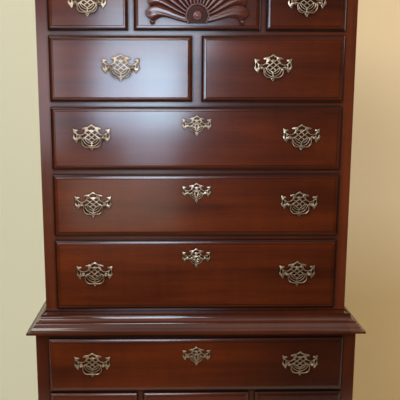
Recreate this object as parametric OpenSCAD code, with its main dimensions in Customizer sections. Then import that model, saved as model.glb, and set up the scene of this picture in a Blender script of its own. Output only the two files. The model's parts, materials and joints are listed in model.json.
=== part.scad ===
// Tall chest of drawers (highboy): a chest of three banks of drawers on a
// lower case with cabriole legs, under a broken swan-neck pediment.
// Millimetres. The origin is on the floor at the middle of the footprint,
// the drawer fronts face -Y and +Z is up.

/* [Overall] */
// width of the lower case over its corner posts
low_w = 954; // [860:2:1060]
// depth of the lower case, front to back
low_d = 500; // [430:5:600]
// height of the waist moulding's lower edge above the floor
waist_z = 860; // [840:5:960]
// side step from the lower case in to the upper case
step_side = 25; // [20:1:32]
// front step from the lower case back to the upper case
step_front = 45; // [36:1:60]

/* [Drawer rows, lip heights from the top] */
// height of the three top fronts
row1_h = 142; // [130:2:180]
// height of the pair of fronts below them
row2_h = 184; // [150:2:210]
// height of the first full-width front
row3_h = 181; // [150:2:210]
// height of the second full-width front
row4_h = 182; // [150:2:210]
// height of the lowest front of the upper case
row5_h = 211; // [170:2:240]
// height of the wide front in the lower case
row6_h = 164; // [140:2:176]
// height of the three lowest fronts
row7_h = 172; // [150:2:184]
// width of the carved middle front in row 1
row1_mid_w = 355; // [320:5:400]
// width of the carved middle front in row 7
row7_mid_w = 316; // [300:4:380]

/* [Front frame] */
// strip of rail that shows between two lips of the upper case
rail_show = 14; // [10:1:20]
// strip of rail that shows between two lips of the lower case
low_rail_show = 8; // [6:1:14]
// strip of divider that shows beside the carved top drawer
row1_div_show = 16; // [12:1:24]
// strip of divider that shows between the pair in row 2
row2_div_show = 26; // [16:1:34]
// strip of divider that shows beside the carved lower drawer
row7_div_show = 20; // [14:1:28]
// strip of stile that shows outside the upper lips
stile_show = 34; // [28:1:44]
// strip of corner post that shows outside the lower lips
post_show = 39; // [34:1:48]
// thickness of the front frame's rails and stiles
frame_t = 20; // [18:1:26]

/* [Drawers] */
// how far a front's lip covers the frame round its opening
lip_cover = 6; // [4:0.5:8]
// how far a front stands proud of the frame
lip_proud = 11; // [9:0.5:14]
// thickness of the lip at its outer edge
lip_edge = 5; // [3:0.5:6]
// width of the thumbnail moulding round a front
thumb_w = 12; // [8:0.5:16]
// thickness of a front behind its lip
front_in = 13; // [11:0.5:18]
// thickness of the drawer sides
side_t = 12; // [10:0.5:15]
// thickness of the drawer backs
back_t = 11; // [9:0.5:14]
// thickness of the drawer bottoms
bottom_t = 6; // [5:0.5:9]
// play at each side of a drawer in its opening
side_play = 1.5; // [0.8:0.1:2.5]
// play under a drawer
under_play = 0.6; // [0.4:0.1:1.2]
// play over a drawer
over_play = 3; // [2:0.5:5]

/* [Boards] */
// thickness of the case sides
board_t = 20; // [16:1:22]
// thickness of the dust boards
dust_t = 12; // [9:1:14]
// thickness of the case backs
case_back_t = 10; // [6:1:12]
// depth of the housings in the case sides
housing = 6; // [4:0.5:8]

/* [Mouldings and pediment] */
// how far the waist moulding stands out from the lower case
waist_out = 23; // [18:1:30]
// height of the waist moulding
waist_h = 50; // [44:1:54]
// height of the cornice moulding
cornice_h = 44; // [36:1:52]
// how far the cornice stands out
cornice_out = 38; // [30:1:48]
// rise of the swan-neck scrolls over the cornice
scroll_rise = 165; // [130:5:190]
// distance of each rosette from the middle
scroll_x = 96; // [84:2:112]
// radius of the rosettes
rosette_r = 31; // [26:1:34]

/* [Legs] */
// height of the apron's ends above the floor
leg_h = 432; // [410:2:450]
// radius of the pad feet
pad_r = 32; // [28:1:36]

/* [Brass] */
// distance between the two posts of a pull
post_gap = 67; // [64:1:72]
// thickness of the brass plates
plate_t = 2; // [1.5:0.1:3]
// diameter of the round posts
post_d = 7; // [6.8:0.1:7.6]
// thickness of the bail's rod
bail_d = 3.8; // [3.4:0.1:4.4]
// diameter of the bail's pins
pin_d = 3; // [2.4:0.1:3.2]
// radial play of the pins in their posts
pin_play = 0.08; // [0.05:0.01:0.1]

/* [Carving] */
// number of rays in each carved shell
rays = 15; // [9:2:15]
// height of the shell's relief
shell_h = 8; // [5:0.5:9]

/* [Hidden] */
glue = 0.2;             // glue line between pieces of one assembly
lip_rest = 0.5;         // space behind a closed lip
y_low = -low_d / 2;     // front plane of the lower case
y_up = y_low + step_front;
y_back = low_d / 2;
up_w = low_w - 2 * step_side;
seat_z = waist_z + 20;  // the upper case stands at this height

rail_t = rail_show + 2 * lip_cover;
row5_z = waist_z + waist_h + 10;
row4_z = row5_z + row5_h + rail_show;
row3_z = row4_z + row4_h + rail_show;
row2_z = row3_z + row3_h + rail_show;
row1_z = row2_z + row2_h + rail_show;
row6_z = waist_z - 18 - row6_h;
row7_z = row6_z - low_rail_show - row7_h;
frame_top = row1_z + row1_h - lip_cover;
case_top = frame_top + 48;

up_lip = up_w - 2 * stile_show;     // width over the lips, upper case
low_lip = low_w - 2 * post_show;    // width over the lips, lower case
post_w = post_show + lip_cover;     // corner post, square
side1_w = (up_lip - row1_mid_w) / 2 - row1_div_show;
side1_x = (row1_mid_w + side1_w) / 2 + row1_div_show;
side2_w = (up_lip - row2_div_show) / 2;
side2_x = (row2_div_show + side2_w) / 2;
side7_w = (low_lip - row7_mid_w) / 2 - row7_div_show;
side7_x = (row7_mid_w + side7_w) / 2 + row7_div_show;
pull_x = up_lip / 2 - 116;    // pulls of the full-width drawers
plate_up = 2.5;               // pull posts above the middle of a front
key_drop = 54;                // keyholes below the upper edge of a front

// one drawer: middle x, lip bottom z, lip width, lip height, frame plane,
// pull positions, keyhole plate
function drawer(x, z, w, h, plane, pulls, key) = [x, z, w, h, plane, pulls, key];
D1L = drawer(-side1_x, row1_z, side1_w, row1_h, y_up, [0], false);
D1C = drawer(0, row1_z, row1_mid_w, row1_h, y_up, [], false);
D1R = drawer(side1_x, row1_z, side1_w, row1_h, y_up, [0], false);
D2L = drawer(-side2_x, row2_z, side2_w, row2_h, y_up, [0], false);
D2R = drawer(side2_x, row2_z, side2_w, row2_h, y_up, [0], false);
D3 = drawer(0, row3_z, up_lip, row3_h, y_up, [-pull_x, pull_x], true);
D4 = drawer(0, row4_z, up_lip, row4_h, y_up, [-pull_x, pull_x], true);
D5 = drawer(0, row5_z, up_lip, row5_h, y_up, [-pull_x, pull_x], true);
D6 = drawer(0, row6_z, low_lip, row6_h, y_low, [-pull_x - 8, pull_x + 8], true);
D7L = drawer(-side7_x, row7_z, side7_w, row7_h, y_low, [0], false);
D7C = drawer(0, row7_z, row7_mid_w, row7_h, y_low, [], false);
D7R = drawer(side7_x, row7_z, side7_w, row7_h, y_low, [0], false);

MAHOGANY = [0.36, 0.13, 0.07];
POPLAR = [0.78, 0.66, 0.46];
BRASS = [0.72, 0.62, 0.42];

// ---------------------------------------------------------------- helpers

// a y-z outline carried along X, middle at x = 0
module along_x(l)
  rotate([90, 0, 90])
    translate([0, 0, -l / 2])
      linear_extrude(l)
        children();

// an x-z outline carried from y = 0 to y = l
module along_y(l)
  translate([0, l, 0])
    rotate([90, 0, 0])
      linear_extrude(l)
        children();

// a box given by its two corners
module block(a, b)
  translate(a)
    cube(b - a);

module both_sides() {
  children();
  mirror([1, 0, 0])
    children();
}

function flip(v) = [for (i = [len(v) - 1:-1:0]) v[i]];
function ramp(t) = (1 - cos(180 * t)) / 2;
function clamp(v, a, b) = min(b, max(a, v));

// ---------------------------------------------------------- drawer fronts

// thumbnail moulding: [distance from the edge, thickness out of the frame]
thumb_top = lip_proud - 1.8;
thumb = concat(
  [for (i = [0:7]) [thumb_w * (1 - cos(90 * i / 7)),
                    lip_edge + (thumb_top - lip_edge) * sin(90 * i / 7)]],
  [[thumb_w + 1.2, lip_proud]]
);

// outline of a lipped front, size s from edge to edge, outer face at -y
module lip_outline(s)
  polygon(concat(
    [[-lip_rest, 0]],
    [for (p = thumb) [-p[1], p[0]]],
    [for (p = flip(thumb)) [-p[1], s - p[0]]],
    [[-lip_rest, s]]
  ));

function body_w(d) = d[2] - 2 * (lip_cover + side_play);
function body_z0(d) = lip_cover + under_play;
function body_z1(d) = d[3] - lip_cover - over_play;
function box_z1(d) = body_z1(d) - 5;
box_end = y_back - case_back_t - 2 - 10;    // drawers end short of the back
function box_len(d) = box_end - d[4];
function tails(d) = max(2, round((box_z1(d) - body_z0(d)) / 38));
groove_z = 9;                       // bottom panel above the sides' lower edge
groove_in = 5;                      // bottom panel into its grooves

module at_drawer(d)
  translate([d[0], d[4], d[1]])
    children();

// tails of a drawer side, y-z, grown by g to make the sockets
module tail_shapes(d, g) {
  n = tails(d);
  pitch = (box_z1(d) - body_z0(d)) / n;
  for (i = [0:n - 1])
    translate([0, body_z0(d) + (i + 0.5) * pitch])
      polygon([
        [glue - g, -pitch * 0.33 - g], [glue - g, pitch * 0.33 + g],
        [front_in + 1, pitch * 0.2 + g], [front_in + 1, -pitch * 0.2 - g]
      ]);
}

module lipped_front(d) {
  difference() {
    union() {
      intersection() {
        along_x(d[2])
          lip_outline(d[3]);
        linear_extrude(d[3])
          rotate(90)
            mirror([0, 1])
              translate([0, -d[2] / 2])
                lip_outline(d[2]);
      }
      block([-body_w(d) / 2, -lip_rest - 1, body_z0(d)],
            [body_w(d) / 2, front_in, body_z1(d)]);
    }
    // half-blind sockets for the sides
    for (s = [-1, 1])
      translate([s * (body_w(d) / 2 - side_t / 2 + 1 - glue / 2), 0, 0])
        along_x(side_t + 2 + glue)
          tail_shapes(d, glue);
    // groove for the bottom
    block([-body_w(d) / 2 + side_t - groove_in - glue, front_in - groove_in - glue,
           body_z0(d) + groove_z - glue],
          [body_w(d) / 2 - side_t + groove_in + glue, front_in + 1,
           body_z0(d) + groove_z + bottom_t + glue]);
    // holes for the pull posts
    for (x = d[5], s = [-1, 1])
      translate([x + s * post_gap / 2, 0, d[3] / 2 + plate_up])
        rotate([90, 0, 0])
          cylinder(d = bolt_d + 0.4, h = 80, center = true, $fn = 24);
  }
}

// ------------------------------------------------------------ drawer boxes

module drawer_side(d)
  translate([body_w(d) / 2 - side_t / 2, 0, 0])
    difference() {
      along_x(side_t) {
        tail_shapes(d, 0);
        translate([front_in + glue, body_z0(d)])
          square([box_len(d) - front_in - glue, box_z1(d) - body_z0(d)]);
        // the tails' roots run into the side
        intersection() {
          tail_shapes(d, 0);
          square([front_in + 1, d[3]]);
        }
      }
      // groove for the bottom
      block([-side_t, front_in - groove_in - glue, body_z0(d) + groove_z - glue],
            [-side_t / 2 + groove_in + glue, box_len(d) + 1,
             body_z0(d) + groove_z + bottom_t + glue]);
      // housing for the back
      block([-side_t, box_len(d) - back_t - 8 - glue,
             body_z0(d) + groove_z + bottom_t + glue],
            [-side_t / 2 + 4 + glue, box_len(d) - 8 + glue, d[3]]);
    }

module drawer_box(d)
  color(POPLAR)
    at_drawer(d) {
      both_sides()
        drawer_side(d);
      // back, let into the sides above the bottom
      block([-body_w(d) / 2 + side_t - 4, box_len(d) - back_t - 8,
             body_z0(d) + groove_z + bottom_t + 2 * glue],
            [body_w(d) / 2 - side_t + 4, box_len(d) - 8, box_z1(d) - 4]);
      // bottom, in grooves on three sides and under the back
      block([-body_w(d) / 2 + side_t - groove_in, front_in - groove_in,
             body_z0(d) + groove_z],
            [body_w(d) / 2 - side_t + groove_in, box_len(d) - 1,
             body_z0(d) + groove_z + bottom_t]);
    }

module drawer_front(d)
  color(MAHOGANY)
    at_drawer(d)
      lipped_front(d);

// ---------------------------------------------------------------- carving

// shell over a button: rays fan out of a hub; the lowest one on each side is
// broad and reeded, and sweeps up, over and down to curl round a small ball
shell_w = 130.5;        // half width of the fan
shell_up = 75;          // height of the fan over the button
shell_z = 40;           // button above the lip's lower edge
hub_r = 33;
hub_low = 20;           // the hub is cut level this far under the button
button_r = 11;
ball_r = 6.2;
ball_at = [125, -17.7]; // from the button
// first angle, and width of the lowest ray in plain rays: at the rim, at the hub
fan_low = -5.5;
fan_broad = 1.4;
root_low = -35;
root_broad = 2.4;
ray_steps = 7;
fan_cols = rays * ray_steps;
fan_rows = [0, 0.1, 0.28, 0.5, 0.68, 0.8, 0.9, 1];
// k counts rays from 0 at one end of the fan to rays at the other
function edge_k(k) = min(k, rays - k);
function share(k, broad) = (k < 1 ? k * broad
  : k > rays - 1 ? rays - 2 + broad + (k - rays + 1) * broad
  : k - 1 + broad) / (rays - 2 + 2 * broad);
function span(low, broad, k) = low + (180 - 2 * low) * share(k, broad);
function lobe(k) = abs(sin(180 * k));
function ray_wave(k) = edge_k(k) < 1
  ? 0.5 * pow(lobe(k), 0.5) + 0.5 * abs(sin(360 * k))
  : pow(lobe(k), 0.6);
function rim_r(a) =
  1 / pow(pow(abs(cos(a)) / shell_w, 3) + pow(abs(sin(a)) / shell_up, 3), 1 / 3);
// the broad ray draws in where it curls round its ball
function curl(k) = 1 - 0.09 * pow(1 - clamp(edge_k(k) / 0.45, 0, 1), 1.5);
function sweep(u) = 11 * ramp(clamp(u / 0.74, 0, 1))
  - 13 * pow(clamp((u - 0.74) / 0.26, 0, 1), 1.6);
function ray_h(k, u) = 2.6 + (shell_h - 2.6) * ray_wave(k)
  * (0.5 + 0.5 * u) * sqrt(clamp((1.04 - u) / 0.16, 0, 1));
function fan_point(k, u, h) =
  let (a = span(fan_low, fan_broad, k),
       b = span(root_low, root_broad, k),
       r = rim_r(a) * curl(k) * (1 + 0.1 * lobe(k)),
       q = hub_r + glue)
  [(1 - u) * q * cos(b) + u * r * cos(a), -h,
   (1 - u) * q * sin(b) + u * r * sin(a) + pow(abs(cos(a)), 5) * sweep(u)];

module shell_fan() {
  nu = len(fan_rows);
  nt = fan_cols + 1;
  top = [for (i = [0:fan_cols], u = fan_rows)
    fan_point(i / ray_steps, u, ray_h(i / ray_steps, u))];
  base = [for (p = top) [p[0], 0, p[2]]];
  nb = len(top);
  // the edge walked once round: out, along the rim, in, back along the root
  edge = concat(
    [for (j = [0:nu - 1]) j],
    [for (i = [1:nt - 1]) i * nu + nu - 1],
    [for (j = [nu - 2:-1:0]) (nt - 1) * nu + j],
    [for (i = [nt - 2:-1:1]) i * nu]
  );
  ne = len(edge);
  polyhedron(concat(top, base), concat(
    [for (i = [0:nt - 2], j = [0:nu - 2])
      [i * nu + j, (i + 1) * nu + j + 1, i * nu + j + 1]],
    [for (i = [0:nt - 2], j = [0:nu - 2])
      [i * nu + j, (i + 1) * nu + j, (i + 1) * nu + j + 1]],
    [for (k = [0:ne - 1]) [edge[k], edge[(k + 1) % ne], nb + edge[k]]],
    [for (k = [0:ne - 1])
      [edge[(k + 1) % ne], nb + edge[(k + 1) % ne], nb + edge[k]]],
    [for (i = [0:nt - 2], j = [0:nu - 2])
      [nb + i * nu + j, nb + i * nu + j + 1, nb + (i + 1) * nu + j + 1]],
    [for (i = [0:nt - 2], j = [0:nu - 2])
      [nb + i * nu + j, nb + (i + 1) * nu + j + 1, nb + (i + 1) * nu + j]]
  ));
}

// hub: a disc with a bead round it and a ringed, domed button
module shell_hub()
  rotate([90, 0, 0])
    difference() {
      union() {
        cylinder(r = hub_r, h = 3.6, $fn = 72);
        translate([0, 0, 3.6])
          rotate_extrude($fn = 72)
            translate([hub_r - 2.6, 0])
              circle(r = 1.6, $fn = 24);
        cylinder(r = button_r, h = 5.6, $fn = 48);
        intersection() {
          cylinder(r = button_r - 2, h = 12, $fn = 48);
          translate([0, 0, -6])
            sphere(r = 15, $fn = 64);
        }
      }
      translate([-hub_r - 1, -hub_r - 1 - hub_low, -1])
        cube([2 * hub_r + 2, hub_r + 1, 14]);
      // matted ground: rings of punch marks
      for (ring = [0:2], i = [0:13 + 5 * ring])
        rotate((i + ring / 2) * 360 / (14 + 5 * ring))
          translate([button_r + 4 + 5.2 * ring, 0, 2.7])
            cylinder(r = 1.5, h = 2, $fn = 16);
    }

module shell_ball()
  translate([ball_at[0], 0, ball_at[1]])
    rotate([90, 0, 0])
      intersection() {
        cylinder(r = ball_r, h = 9, $fn = 48);
        sphere(r = ball_r + 1.2, $fn = 64);
      }

module carved_front(d) {
  drawer_front(d);
  color(MAHOGANY)
    at_drawer(d)
      translate([0, -lip_proud - glue, shell_z]) {
        shell_fan();
        shell_hub();
        both_sides()
          shell_ball();
      }
}

// ------------------------------------------------------------------ brass

bolt_d = 4.8;
axis_out = 6;                   // bail axis in front of its plate
bail_x = post_gap / 2 - post_d / 2 - bail_d / 2 - 0.7;
bail_drop = 26;
bend_r = 15;                    // corners of the bail

function arc(c, r, a0, a1) = [for (i = [0:8])
  let (a = a0 + (a1 - a0) * i / 8) c + r * [cos(a), sin(a)]];

// one side's outline of the pull plate, drawn for posts 69 apart, with its
// origin midway between them
module plate_half()
  polygon(concat(
    // drop and the lobe under the lattice
    [[0, -41], [6.4, -31], [4.6, -26.6]],
    arc([0, 0], 26.6, -78, -16),
    // arm under the post and the leaf point of the wing
    arc([34.5, 0], 5.6, -135, -38),
    [[41, -8], [44, -16.5], [49.5, -9], [54, -3]],
    // edge of the wing, its corner and horn
    arc([71, 12], 18.5, 214, 166),
    [[55, 29.5], [48, 26.4]],
    arc([42.4, 23.4], 3, 70, 262),
    [[47, 20.8], [46, 17.6]],
    // hollow shoulder, the horn of the arch and the arch to its peak
    arc([33, 23.6], 13.4, -35, -182),
    [[21, 27]],
    arc([25.6, 28.6], 3, -110, 70),
    [[20, 33.2]],
    arc([15, 41.6], 7.6, -78, -112),
    [[7, 37.4], [0, 43]]
  ));

// half diagonals and bars of the lattice
cell = [9.6, 7.8];
cell_bar = 2.5;

module lozenge(x, z)
  translate([x, z])
    polygon([[cell[0] - cell_bar, 0], [0, cell[1] - cell_bar * 0.8],
             [cell_bar - cell[0], 0], [0, cell_bar * 0.8 - cell[1]]]);

// one side's piercings
module plate_piercings() {
  // trefoil under the arch
  translate([0, 33])
    circle(r = 4, $fn = 20);
  translate([6, 29])
    circle(r = 4.4, $fn = 20);
  translate([-1, 26])
    square([7, 7]);
  // lattice
  lozenge(0, 9.2);
  lozenge(0, 9.2 - 2 * cell[1]);
  lozenge(cell[0], 9.2 + cell[1]);
  lozenge(cell[0], 9.2 - cell[1]);
  // slot along the arm, leaf in the wing
  difference() {
    polygon(concat([[12.2, 9.2], [16.6, 12.8]],
                   arc([33, 23.6], 16, -138, -66),
                   [[42.4, 6], [41, 1.5], [34, 0], [27, -0.4], [19.2, 3.6]]));
    translate([34.5, 0])
      circle(r = 5.6, $fn = 24);
  }
  translate([48, 7.5])
    rotate(-10)
      scale([0.42, 1])
        circle(r = 8, $fn = 20);
  // lobe: two openings with a curled bar between them
  difference() {
    intersection() {
      circle(r = 24.2, $fn = 48);
      polygon([[1.6, -40], [1.6, -14.4], [17, -2.6], [40, -2.6], [40, -40]]);
    }
    translate([-1, 4])
      difference() {
        circle(r = 22.6, $fn = 48);
        circle(r = 20.4, $fn = 48);
      }
  }
  // eye of the drop
  polygon([[-1, -37.4], [2.4, -33.2], [-1, -33.2]]);
}

module plate_face(k)
  scale([k * post_gap / 69, 0.94 * k * post_gap / 69])
    for (s = [0, 1])
      mirror([s, 0])
        difference() {
          plate_half();
          plate_piercings();
        }

// plate of a pull: the lattice plate with two post holes
module pull_plate()
  difference() {
    along_y(plate_t)
      plate_face(1);
    for (s = [-1, 1])
      translate([s * post_gap / 2, 0, 0])
        rotate([90, 0, 0])
          cylinder(d = bolt_d + 0.4, h = 3 * plate_t, center = true, $fn = 24);
  }

// turned post, cross-bored for the bail's pin, with its bolt and nut
module pull_post() {
  ball_y = -axis_out;
  difference() {
    union() {
      rotate([90, 0, 0])
        translate([0, 0, glue])
          cylinder(d = post_d + 1.6, h = 1.4, $fn = 32);
      rotate([90, 0, 0])
        translate([0, 0, glue])
          cylinder(d = post_d, h = axis_out + 2.4, $fn = 32);
      translate([0, ball_y - 2.4 + 0.8, 0])
        sphere(d = post_d + 0.6, $fn = 32);
      rotate([-90, 0, 0])
        cylinder(d = bolt_d, h = plate_t + lip_proud + front_in + 7, $fn = 24);
      rotate([90, 0, 0])
        cylinder(d = bolt_d, h = glue + 0.5, $fn = 24);
    }
    translate([0, ball_y, 0])
      rotate([0, 90, 0])
        cylinder(d = pin_d + 2 * pin_play, h = 3 * post_d, center = true, $fn = 32);
  }
  translate([0, plate_t + lip_proud + front_in, 0])
    rotate([-90, 0, 0])
      difference() {
        cylinder(d = 10.5, h = 3.2, $fn = 6);
        translate([0, 0, -1])
          cylinder(d = bolt_d + 2 * glue, h = 6, $fn = 24);
      }
}

// keyhole plate: the smaller pattern with a round and slotted keyhole
module keyhole_plate(k)
  difference() {
    along_y(plate_t)
      difference() {
        union() {
          plate_face(k);
          circle(r = 7.5, $fn = 32);
          translate([-4.5, -14])
            square([9, 12]);
        }
        circle(r = 3, $fn = 24);
        translate([-1.3, -10])
          square([2.6, 10]);
      }
    for (s = [-1, 1])
      translate([s * 35, 0, 0])
        rotate([90, 0, 0])
          cylinder(d = 1.6, h = 3 * plate_t, center = true, $fn = 16);
  }

module brass_of(d)
  color(BRASS)
    at_drawer(d)
      translate([0, -lip_proud - plate_t, d[3] / 2 + plate_up]) {
        for (x = d[5])
          translate([x, 0, 0]) {
            pull_plate();
            for (s = [-1, 1])
              translate([s * post_gap / 2, 0, 0])
                pull_post();
          }
        if (d[6])
          translate([0, 0, d[3] / 2 - plate_up - key_drop])
            keyhole_plate(0.775);
      }

// bail: a flat-bottomed loop on two pins that turn outward into the posts
module bail(d, x)
  color(BRASS)
    at_drawer(d)
      translate([x, -lip_proud - plate_t - axis_out, d[3] / 2 + plate_up])
        both_sides() {
          translate([bail_x, 0, bend_r - bail_drop])
            cylinder(d = bail_d, h = bail_drop - bend_r, $fn = 24);
          translate([bail_x - bend_r, 0, bend_r - bail_drop])
            rotate([90, 0, 0])
              rotate([0, 0, -90])
                rotate_extrude(angle = 90, $fn = 64)
                  translate([bend_r, 0])
                    circle(d = bail_d, $fn = 24);
          translate([-0.01, 0, -bail_drop])
            rotate([0, 90, 0])
              cylinder(d = bail_d, h = bail_x - bend_r + 0.01, $fn = 24);
          translate([bail_x - bail_d / 2, 0, 0])
            rotate([0, 90, 0])
              cylinder(d = bail_d + 0.8, h = bail_d, $fn = 24);
          translate([bail_x, 0, 0])
            rotate([0, 90, 0])
              cylinder(d = pin_d, h = post_gap / 2 + post_d / 2 + 1 - bail_x, $fn = 24);
          translate([bail_x - bend_r - 4, 0, -bail_drop])
            rotate([0, 90, 0])
              cylinder(d = bail_d + 1.2, h = 1.6, $fn = 24);
        }

// ------------------------------------------------------------ upper case

x_up = up_w / 2;
x_open = up_lip / 2 - lip_cover;         // edge of the full-width openings
y_frame = y_up + frame_t;
y_rear = y_back - case_back_t - 2;       // front face of the case backs

// heights of the opening floors that carry drawers, upper case
up_floors = [for (z = [row5_z, row4_z, row3_z, row2_z, row1_z]) z + lip_cover];

module upper_side_panels()
  color(MAHOGANY)
    both_sides()
      difference() {
        block([x_up - board_t, y_frame + glue, seat_z], [x_up, y_back, case_top]);
        // housings for the dust boards and the top
        for (z = concat(up_floors, [case_top]))
          block([x_up - board_t - 1, y_frame, z - dust_t - glue],
                [x_up - board_t + housing + glue, y_rear + 1, z + glue]);
        // rebate for the back
        block([x_up - board_t - 1, y_rear - glue, seat_z - 1],
              [x_up - board_t + 10 + glue, y_back + 1, case_top + 1]);
      }

module frame_bar(x0, x1, z0, z1, y, t)
  block([x0, y, z0], [x1, y + t, z1]);

module upper_front_frame()
  color(MAHOGANY) {
    both_sides()
      frame_bar(x_open, x_up, seat_z, frame_top, y_up, frame_t);
    // bottom rail
    frame_bar(-x_open + glue, x_open - glue, seat_z, up_floors[0], y_up, frame_t);
    // rails between the rows
    for (z = [for (i = [1:4]) up_floors[i]])
      frame_bar(-x_open + glue, x_open - glue, z - rail_t, z, y_up, frame_t);
    // dividers of row 1 and row 2
    both_sides()
      frame_bar(row1_mid_w / 2 - lip_cover, row1_mid_w / 2 + row1_div_show + lip_cover,
                up_floors[4] + glue, frame_top, y_up, frame_t);
    frame_bar(-row2_div_show / 2 - lip_cover, row2_div_show / 2 + lip_cover,
              up_floors[3] + glue, up_floors[4] - rail_t - glue, y_up, frame_t);
  }

guide_h = 18;

module upper_dust_boards()
  color(POPLAR) {
    for (z = concat(up_floors, [case_top]))
      block([-x_up + board_t - housing, y_frame + glue, z - dust_t],
            [x_up - board_t + housing, y_rear - 1, z]);
    // drawer guides along the case sides
    for (z = up_floors)
      both_sides()
        block([x_open, y_frame + glue, z + glue],
              [x_up - board_t - glue, y_rear - 1, z + glue + guide_h]);
    // middle guides behind the dividers
    both_sides()
      block([row1_mid_w / 2 - lip_cover, y_frame + glue, up_floors[4] + glue],
            [row1_mid_w / 2 + row1_div_show + lip_cover, y_rear - 1,
             up_floors[4] + glue + guide_h]);
    block([-row2_div_show / 2 - lip_cover, y_frame + glue, up_floors[3] + glue],
          [row2_div_show / 2 + lip_cover, y_rear - 1, up_floors[3] + glue + guide_h]);
  }

module back_panels()
  color(POPLAR) {
    block([-x_up + board_t - 10, y_rear, seat_z],
          [x_up - board_t + 10, y_rear + case_back_t, case_top]);
    block([-x_low_in + glue, y_rear, low_floor - 14],
          [x_low_in - glue, y_rear + case_back_t, seat_z - glue]);
  }

// -------------------------------------------------------------- pediment

flat_x = x_up - 47;             // the cornice is level outside this
scroll_z = case_top + scroll_rise;
plinth_w = 50;                  // plinth under the middle finial
plinth_drop = 34;               // its top under the tops of the scrolls

neck_x = scroll_x + rosette_r + 1;      // the neck ends level beside its rosette
rosette_z = scroll_z + 16 - rosette_r;

// top line of the swan neck at a distance x from the middle
function neck_z(x) = case_top
  + scroll_rise * ramp(clamp((flat_x - x) / (flat_x - neck_x), 0, 1));

// upper edge of one half of the board, from the outer end to the scroll
board_edge = [for (i = [0:28])
  let (x = x_up + (scroll_x - x_up) * i / 28)
  [x, neck_z(x)]];

module scroll_board()
  color(MAHOGANY)
    translate([0, y_up, 0])
      along_y(frame_t) {
        difference() {
          polygon(concat(
            [[-x_up, frame_top + glue], [x_up, frame_top + glue]],
            board_edge,
            [[scroll_x, scroll_z - 100], [-scroll_x, scroll_z - 100]],
            [for (p = flip(board_edge)) [-p[0], p[1]]]
          ));
          for (s = [-1, 1])
            translate([s * 60, scroll_z - 94])
              circle(r = 30, $fn = 48);
        }
        for (s = [-1, 1])
          translate([s * scroll_x, rosette_z])
            circle(r = rosette_r, $fn = 48);
        translate([-plinth_w / 2, scroll_z - 140])
          square([plinth_w, 140 - plinth_drop]);
      }

// cornice profile: [out from the board, height about the top line]
function cornice_profile() = concat(
  [[0, -cornice_h + 12], [4, -cornice_h + 12], [4, -cornice_h + 17]],
  [for (i = [0:4])
    [6 + (cornice_out - 14) * (1 - cos(90 * i / 4)),
     -cornice_h + 19 + (cornice_h - 27) * sin(90 * i / 4)]],
  [[cornice_out - 6, 3], [cornice_out, 5], [cornice_out, 12], [0, 12]]
);

// swan-neck moulding: the profile carried square to the neck's curve
module swan_neck() {
  prof = cornice_profile();
  n = 22;
  np = len(prof);
  pts = [for (i = [0:n], p = prof)
    let (t = i / n,
         x = neck_x + (x_up + p[0] - neck_x) * (1 - t),
         slope = (neck_z(x + 0.5) - neck_z(x - 0.5)),
         k = sqrt(1 + slope * slope))
    [x - p[1] * slope / k, -p[0], neck_z(x) + p[1] / k]];
  polyhedron(pts, concat(
    [for (i = [0:n - 1], j = [0:np - 1])
      let (m = (j + 1) % np)
      [i * np + j, (i + 1) * np + m, i * np + m]],
    [for (i = [0:n - 1], j = [0:np - 1])
      let (m = (j + 1) % np)
      [i * np + j, (i + 1) * np + j, (i + 1) * np + m]],
    [[for (j = [0:np - 1]) j]],
    [[for (j = [np - 1:-1:0]) n * np + j]]
  ));
}

// straight return along the case side, mitred at the front corner
module cornice_return()
  difference() {
    translate([x_up, y_up - cornice_out, case_top])
      rotate([90, 0, 180])
        mirror([1, 0, 0])
          linear_extrude(y_back - y_up + cornice_out)
            polygon(cornice_profile());
    translate([x_up, y_up, case_top - 100])
      rotate([0, 0, -45])
        translate([-200, -400, 0])
          cube([600, 400, 200]);
  }

module rosette()
  rotate([90, 0, 0])
    difference() {
      rotate_extrude($fn = 48)
        polygon([[0, 0], [rosette_r, 0], [rosette_r, 26], [rosette_r - 3, 30],
                 [rosette_r - 7, 30], [rosette_r - 9, 26], [13, 24], [10, 27],
                 [8, 32], [4, 34.5], [0, 35.5]]);
      for (i = [0:7])
        rotate(i * 45)
          translate([rosette_r - 14, 0, 32])
            rotate([0, 90, 0])
              cylinder(r = 5, h = 14, center = true, $fn = 24);
    }

module cornice_mouldings()
  color(MAHOGANY)
    both_sides() {
      translate([0, y_up - glue, 0])
        swan_neck();
      cornice_return();
      translate([scroll_x, y_up - glue, rosette_z])
        rosette();
    }

// turned urn with a carved flame on a square plinth
module finial(h, plinth) {
  translate([-plinth / 2, -plinth / 2, 0])
    cube([plinth, plinth, h * 0.14]);
  translate([0, 0, h * 0.14 - 0.5])
    rotate_extrude($fn = 48)
      polygon(concat(
        [[0, 0], [h * 0.1, 0], [h * 0.1, h * 0.03], [h * 0.045, h * 0.06],
         [h * 0.04, h * 0.1]],
        [for (i = [0:9])
          [h * (0.045 + 0.075 * sin(180 * pow(i / 9, 0.8))), h * (0.11 + 0.026 * i)]],
        [[h * 0.05, h * 0.37], [h * 0.03, h * 0.4], [0, h * 0.4]]
      ));
  translate([0, 0, h * 0.53])
    flame(h * 0.47, h * 0.085);
}

// flame: three lobes that turn and taper to a point
module flame(h, r)
  linear_extrude(height = h, twist = -260, scale = 0.12, slices = 9)
    union() {
      circle(r = r * 0.55, $fn = 9);
      for (i = [0:2])
        rotate(120 * i)
          translate([r * 0.5, 0])
            circle(r = r * 0.5, $fn = 9);
    }

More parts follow.
